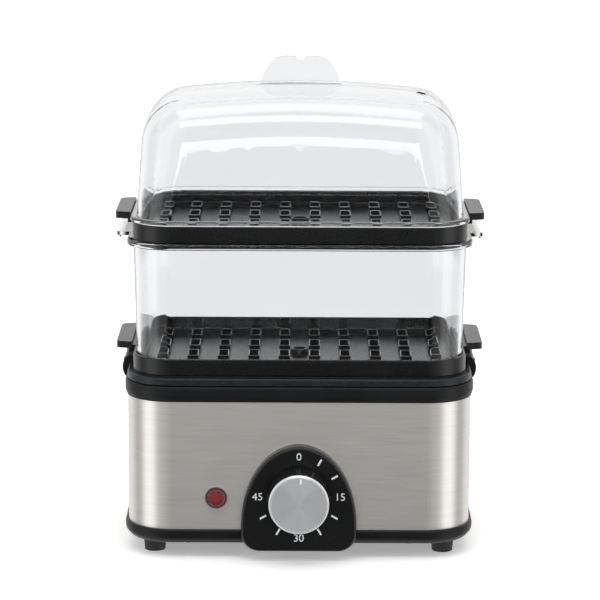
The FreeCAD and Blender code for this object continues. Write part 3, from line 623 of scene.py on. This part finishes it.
@dataclass
class SubAssembly:
    """A group of pieces that rides on one body."""

    body: Body
    pieces: list[bpy.types.Object] = field(default_factory=list, init=False)

    def keep(self, piece: bpy.types.Object, finish: Finish, slot: str, *nodes: str) -> bpy.types.Object:
        """Dress a finished piece, ride it on the body and hide the CAD nodes that it replaces.

        Args:
            piece: The finished piece.
            finish: Its finish.
            slot: The record's material slot; not used.
            nodes: CAD nodes that it stands for.

        Returns:
            The piece.
        """
        finish.dress(piece)
        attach(piece, self.body.value)
        if nodes:
            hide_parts(*nodes)
        self.pieces.append(piece)
        LOG.info("%s rides on %s", piece.name, self.body.value)
        return piece

    def build(self) -> None:
        """Make the pieces; each sub-assembly has its own."""
        raise NotImplementedError


def midpoint(node: str) -> Vector:
    """Centre of a CAD node's box."""
    low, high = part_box(node)
    return (low + high) / 2


@dataclass
class ClearPart(SubAssembly):
    """Clear moulding: its walls keep the frame's form, merged and smoothed so that they refract evenly."""

    body: Body = Body.LID
    node: str = "lid"
    name: str = "clear_lid"
    merge: float = 0.004 * MM
    smooth_degrees: float = 32.0

    def build(self) -> None:
        """One smooth closed moulding."""
        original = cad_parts[self.node]
        moulding = original.copy()
        moulding.data = original.data.copy()
        moulding.parent = None
        moulding.matrix_world = Matrix.Identity(4)
        bpy.context.scene.collection.objects.link(moulding)
        Workbench.clear()
        moulding.select_set(True)
        bpy.context.view_layer.objects.active = moulding
        bpy.ops.mesh.customdata_custom_splitnormals_clear()
        bench = Workbench(self.name)
        bpy.ops.mesh.remove_doubles(threshold=self.merge)
        piece = bench.finish(self.smooth_degrees)
        self.keep(piece, CLEAR_PLASTIC, "clear_plastic", self.node)


@dataclass
class Knob(SubAssembly):
    """Timer knob: knurled black skirt, turned face with a bright bevel, pointer line."""

    body: Body = Body.KNOB
    ribs: int = 72
    rib_depth: float = 0.35 * MM
    skirt_taper: float = 0.945
    bevel: float = 0.9 * MM
    groove: float = 0.15 * MM
    pointer_angle: float = 4.5
    pointer_length: float = 3.2 * MM
    pointer_width: float = 1.1 * MM
    pointer_inset: float = 1.9 * MM
    pointer_sunk: float = 0.08 * MM

    def build(self) -> None:
        """Skirt, face and pointer."""
        self.keep(self.skirt(), PANEL_BLACK, "black_panel", "knob_skirt")
        face = Turned("turned_face", centre=tuple(midpoint("knob_cap")))
        self.keep(self.face(), face, "spun_aluminium", "knob_cap")
        self.keep(self.pointer(), PRINT_WHITE, "black_panel")

    def skirt(self) -> bpy.types.Object:
        """Tapered drum with every other strip of its side pressed in."""
        low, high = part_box("knob_skirt")
        centre = midpoint("knob_skirt")
        radius = (high.x - low.x) / 2
        bench = Workbench.cylinder("knob_knurled_skirt", centre, radius, high.y - low.y, self.ribs * 2)
        bench.choose_points(lambda co: co.y < centre.y)
        bench.resize((self.skirt_taper, 1.0, self.skirt_taper), Vector((centre.x, low.y, centre.z)))
        bench.choose_edges(lambda edge: abs(edge.verts[0].co.y - edge.verts[1].co.y) > 1e-3)
        bpy.ops.mesh.subdivide(number_cuts=6)

        def pressed(face: bmesh.types.BMFace) -> bool:
            """Whether a face is on a pressed strip of the side."""
            place = face.calc_center_median()
            if abs(face.normal.y) > 0.7 or not low.y + 0.001 < place.y < high.y - 0.002:
                return False
            angle = math.atan2(place.z - centre.z, place.x - centre.x)
            strip = round(angle / (math.pi / self.ribs) - 0.5)
            return strip % 2 == 0

        bench.choose_faces(pressed)
        bpy.ops.mesh.extrude_region_shrink_fatten(TRANSFORM_OT_shrink_fatten={"value": -self.rib_depth})
        bench.choose_faces(lambda face: face.normal.y < -0.9)
        bench.inset(0.6 * MM, 0.0)
        return bench.finish(25.0)

    def face(self) -> bpy.types.Object:
        """Disc with a bright bevelled rim and a fine groove inside it."""
        low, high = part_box("knob_cap")
        bench = Workbench.cylinder("knob_turned_face", midpoint("knob_cap"), (high.x - low.x) / 2,
                                   high.y - low.y, 128)
        bench.choose_edges(lambda edge: all(abs(v.co.y - low.y) < 0.01 * MM for v in edge.verts))
        bench.bevel(self.bevel, 1)
        bench.choose_faces(lambda face: face.normal.y < -0.9)
        bench.inset(0.25 * MM, 0.0)
        bench.inset(self.groove, -self.groove)
        bench.inset(self.groove, self.groove)
        return bench.finish(20.0)

    def pointer(self) -> bpy.types.Object:
        """Thin raised line near the rim of the face."""
        low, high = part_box("knob_cap")
        centre = midpoint("knob_cap")
        reach = (high.x - low.x) / 2 - self.pointer_inset - self.pointer_length / 2
        angle = math.radians(self.pointer_angle)
        bench = Workbench.plane("knob_pointer", Vector((0, 0, 0)), self.pointer_width, self.pointer_length)
        bench.corners(0.3 * MM, 3)
        bench.extrude((0, 0, 0.15 * MM))
        piece = bench.finish(30.0)
        piece.data.transform(Matrix.Rotation(math.pi / 2, 4, "X"))
        piece.data.transform(Matrix.Translation((0, 0, reach)))
        piece.data.transform(Matrix.Rotation(angle, 4, "Y"))
        piece.data.transform(Matrix.Translation((centre.x, low.y + self.pointer_sunk, centre.z)))
        return piece


@dataclass
class Dial(SubAssembly):
    """Printed figures and ticks on the dial panel."""

    body: Body = Body.BASE
    radius: float = 24.4 * MM
    lowered: float = 0.8 * MM
    figure_height: float = 4.5 * MM
    tick_length: float = 4.3 * MM
    tick_width: float = 1.1 * MM
    print_thick: float = 0.06 * MM
    figures: tuple[tuple[str, float], ...] = (("0", 0.0), ("15", 90.0), ("30", 180.0), ("45", 270.0))
    ticks: tuple[float, ...] = (30.0, 60.0, 120.0, 150.0, 210.0, 240.0)

    def place(self, angle: float) -> Vector:
        """Point on the dial's circle, clockwise from the top.

        Args:
            angle: Degrees clockwise from the top.

        Returns:
            The point, on the panel's face.
        """
        knob = midpoint("knob_cap")
        face_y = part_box("dial_panel")[0].y
        turn = math.radians(angle)
        rise = self.radius * math.cos(turn) - (self.lowered if angle == 180.0 else 0.0)
        return Vector((knob.x + self.radius * math.sin(turn), face_y, knob.z + rise))

    def build(self) -> None:
        """All figures and ticks."""
        for text, angle in self.figures:
            self.keep(self.figure(text, angle), PRINT_WHITE, "black_panel")
        for angle in self.ticks:
            self.keep(self.tick(angle), PRINT_WHITE, "black_panel")

    def figure(self, text: str, angle: float) -> bpy.types.Object:
        """One upright number.

        Args:
            text: The number.
            angle: Its place on the circle.

        Returns:
            The number as a mesh.
        """
        Workbench.clear()
        bpy.ops.object.text_add(location=(0, 0, 0))
        label = bpy.context.active_object
        label.data.body = text
        label.data.align_x = "CENTER"
        label.data.align_y = "CENTER"
        label.data.size = self.figure_height / 0.70
        label.data.extrude = self.print_thick / 2
        bpy.ops.object.convert(target="MESH")
        label = bpy.context.active_object
        label.name = f"dial_figure_{text}"
        label.data.name = label.name
        label.data.transform(Matrix.Rotation(math.pi / 2, 4, "X"))
        label.data.transform(Matrix.Translation(self.place(angle)))
        return label

    def tick(self, angle: float) -> bpy.types.Object:
        """One tick that points at the dial's centre.

        Args:
            angle: Its place on the circle.

        Returns:
            The tick.
        """
        bench = Workbench.plane(f"dial_tick_{int(angle):03d}", Vector((0, 0, 0)), self.tick_width,
                                self.tick_length)
        bench.corners(0.15 * MM, 2)
        bench.extrude((0, 0, self.print_thick))
        piece = bench.finish(30.0)
        piece.data.transform(Matrix.Rotation(math.pi / 2, 4, "X"))
        piece.data.transform(Matrix.Rotation(math.radians(angle), 4, "Y"))
        piece.data.transform(Matrix.Translation(self.place(angle)))
        return piece


@dataclass
class Lamp(SubAssembly):
    """Domed indicator lens."""

    body: Body = Body.BASE

    def build(self) -> None:
        """The lens's head and barrel."""
        low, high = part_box("indicator_lens")
        radius = (high.x - low.x) / 2
        shell_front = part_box("steel_shell")[0].y
        centre = Vector(((low.x + high.x) / 2, (low.y + shell_front) / 2, (low.z + high.z) / 2))
        bench = Workbench.cylinder("lamp_lens", centre, radius, shell_front - low.y, 64)
        bench.choose_faces(lambda face: face.normal.y > 0.9)
        bench.inset(1.5 * MM)
        bench.extrude((0, high.y - shell_front, 0))
        bench.choose_faces(lambda face: face.normal.y < -0.9)
        bench.inset(0.5 * MM, 0.0)
        bench.choose_faces(lambda face: face.normal.y < -0.9 and face.calc_area() > 1e-5)
        bench.inset(0.7 * MM, 0.0)
        bench.inset(0.3 * MM, -0.5 * MM)
        bench.inset(1.2 * MM, 0.25 * MM)
        bench.inset(1.6 * MM, 0.15 * MM)
        piece = bench.finish(30.0)
        apply_modifier(piece, "BEVEL", width=0.25 * MM, segments=2, limit_method="ANGLE")
        lens = LampLens("red_lens", centre=tuple(centre), radius=radius)
        self.keep(piece, lens, "red_lens", "indicator_lens")


@dataclass
class TrayEdges(SubAssembly):
    """Rounded lips on the raised steam slots of one tray, coloured light grey as a painted highlight on the
    black rims.
    """

    body: Body = Body.LOWER
    node: str = "lower_tray"
    columns: int = 10
    rows: int = 4
    pitch_x: float = 18.45 * MM
    pitch_y: float = 32.46 * MM
    width: float = 6.8 * MM
    length: float = 19.6 * MM
    lip: float = 0.75 * MM
    lip_edge: float = 0.2 * MM
    lip_rise: float = 0.4 * MM
    below_grip: float = 7.6 * MM

    def build(self) -> None:
        """One lip, copied over the grid and joined."""
        centre = midpoint(self.node)
        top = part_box(self.node)[1].z - self.below_grip
        first = self.slot_lip(Vector((centre.x, centre.y, top)))
        lips = []
        for column in range(self.columns):
            for row in range(self.rows):
                x = (column - (self.columns - 1) / 2) * self.pitch_x
                y = (row - (self.rows - 1) / 2) * self.pitch_y
                lips.append(copy_piece(first, Vector((x, y, 0))))
        bpy.data.objects.remove(first)
        piece = join_pieces(f"{self.node}_slot_lips", lips)
        # Light grey lips: painted highlight on the slot rims of the black tray.
        self.keep(piece, RIM_PAINTED_HIGHLIGHT, "tray_plastic")

    def slot_lip(self, place: Vector) -> bpy.types.Object:
        """One lip: a thin rounded frame with a crowned top.

        Args:
            place: Its centre, at the slot's top.

        Returns:
            The lip.
        """
        bench = Workbench.plane("slot_lip", place, self.width, self.length)
        bench.corners(1.6 * MM, 4)
        bench.inset(self.lip_edge, self.lip_rise)
        bench.inset(self.lip - 2 * self.lip_edge, 0.0)
        bench.inset(self.lip_edge, -self.lip_rise)
        bpy.ops.mesh.delete(type="FACE")
        return bench.finish(80.0, outward=False)


@dataclass
class Studio:
    """White room: floor, soft lights, and the camera."""

    camera_place: Point = (0.0003, -1.601, 0.4634)
    aim: Point = (-0.00007, 0.98051, -0.19647)
    lens: float = 160.04
    sensor: float = 36.0
    roll: float = 0.25
    room_level: float = 1.4
    walls: tuple[tuple[float, float], ...] = (
        (0.0, 0.06), (5.0, 0.06), (8.0, 0.03), (11.0, 0.03), (16.0, 0.28), (40.0, 0.42), (50.0, 1.0),
        (76.0, 1.0), (86.0, 0.36), (106.0, 0.36), (124.0, 0.71))

    def build(self) -> None:
        """Everything round the object."""
        self.world()
        self.floor()
        self.lights()
        self.camera()
        view = bpy.context.scene.view_settings
        view.view_transform = "Standard"
        view.look = "None"

    def world(self) -> None:
        """White room whose walls are dimmer behind the camera, with a bright soft window at each side."""
        world = bpy.data.worlds.new("white_room")
        world.use_nodes = True
        tree = world.node_tree
        background = tree.nodes["Background"]
        background.inputs["Strength"].default_value = self.room_level
        where = tree.nodes.new("ShaderNodeTexCoord")
        split = tree.nodes.new("ShaderNodeSeparateXYZ")
        tree.links.new(where.outputs["Generated"], split.inputs["Vector"])
        front = tree.nodes.new("ShaderNodeMath")
        front.operation = "MULTIPLY"
        front.inputs[1].default_value = -1.0
        tree.links.new(split.outputs["Y"], front.inputs[0])
        bearing = tree.nodes.new("ShaderNodeMath")
        bearing.operation = "ARCTAN2"
        tree.links.new(split.outputs["X"], bearing.inputs[0])
        tree.links.new(front.outputs["Value"], bearing.inputs[1])
        either = tree.nodes.new("ShaderNodeMath")
        either.operation = "ABSOLUTE"
        tree.links.new(bearing.outputs["Value"], either.inputs[0])
        share = tree.nodes.new("ShaderNodeMath")
        share.operation = "DIVIDE"
        share.inputs[1].default_value = math.pi
        tree.links.new(either.outputs["Value"], share.inputs[0])
        ramp = tree.nodes.new("ShaderNodeValToRGB")
        elements = ramp.color_ramp.elements
        while len(elements) < len(self.walls):
            elements.new(0.5)
        for element, (degrees, level) in zip(elements, self.walls):
            element.position = degrees / 180.0
            element.color = (level, level * 0.995, level * 0.985, 1.0)
        tree.links.new(share.outputs["Value"], ramp.inputs["Fac"])
        tree.links.new(ramp.outputs["Color"], background.inputs["Color"])
        bpy.context.scene.world = world

    def floor(self) -> None:
        """Large pale floor that neither mirrors nor shows through the clear parts."""
        Workbench.clear()
        bpy.ops.mesh.primitive_plane_add(size=30.0, location=(0, 0, 0))
        floor = bpy.context.active_object
        floor.name = "floor"
        floor.visible_glossy = False
        floor.visible_transmission = False
        shader = Shader("pale_floor")
        shader.tint(shader.noise((0.6, 0.6, 0.6)), (0.93, 0.93, 0.93), (0.95, 0.95, 0.95))
        shader.set(Roughness=0.9, Specular_IOR_Level=0.0, Emission_Color=(1.0, 1.0, 1.0, 1.0),
                   Emission_Strength=0.30)
        floor.data.materials.append(shader.material)

    def lights(self) -> None:
        """Softboxes overhead and high in front, and a low panel in front."""
        middle = (0.0, 0.0, 0.12)
        lamps = (("overhead", (0.0, 0.2, 1.6), (1.2, 0.8), 4.0),
                 ("front_softbox", (0.0, -1.2, 2.7), (2.4, 0.9), 20.0),
                 ("front_panel", (0.0, -2.2, 0.52), (1.7, 0.5), 7.0))
        for name, place, size, power in lamps:
            Workbench.clear()
            bpy.ops.object.light_add(type="AREA", location=place)
            light = bpy.context.active_object
            light.name = name
            light.data.shape = "RECTANGLE"
            light.data.size = size[0]
            light.data.size_y = size[1]
            light.data.energy = power
            light.rotation_euler = (Vector(middle) - Vector(place)).to_track_quat("-Z", "Y").to_euler()

    def camera(self) -> None:
        """Long-lens camera a little above the cooker's middle."""
        shift = midpoint("steel_shell")
        data = bpy.data.cameras.new("camera")
        data.lens = self.lens
        data.sensor_width = self.sensor
        camera = bpy.data.objects.new("camera", data)
        bpy.context.scene.collection.objects.link(camera)
        turn = Vector(self.aim).to_track_quat("-Z", "Y").to_matrix().to_4x4()
        place = Matrix.Translation(Vector(self.camera_place) + Vector((shift.x, shift.y, 0.0)))
        camera.matrix_world = place @ turn @ Matrix.Rotation(math.radians(self.roll), 4, "Z")
        bpy.context.scene.camera = camera


def dress_cad_nodes() -> None:
    """Give every CAD node that stays its own finish."""
    for finish, names in CAD_FINISHES.items():
        for name in names:
            finish.dress(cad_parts[name])
            LOG.info("%s is dressed in %s", name, finish.name)


def main() -> None:
    """Build the cooker round the frame, then the studio."""
    logging.basicConfig(level=logging.INFO, format="%(name)s: %(message)s")
    dress_cad_nodes()
    trays = (TrayEdges(), TrayEdges(body=Body.UPPER, node="upper_tray"))
    clear = (ClearPart(), ClearPart(body=Body.CHAMBER, node="chamber", name="clear_chamber"))
    for assembly in (*clear, Knob(), Dial(), Lamp(), *trays):
        assembly.build()
    Studio().build()


if __name__ == "__main__":
    main()
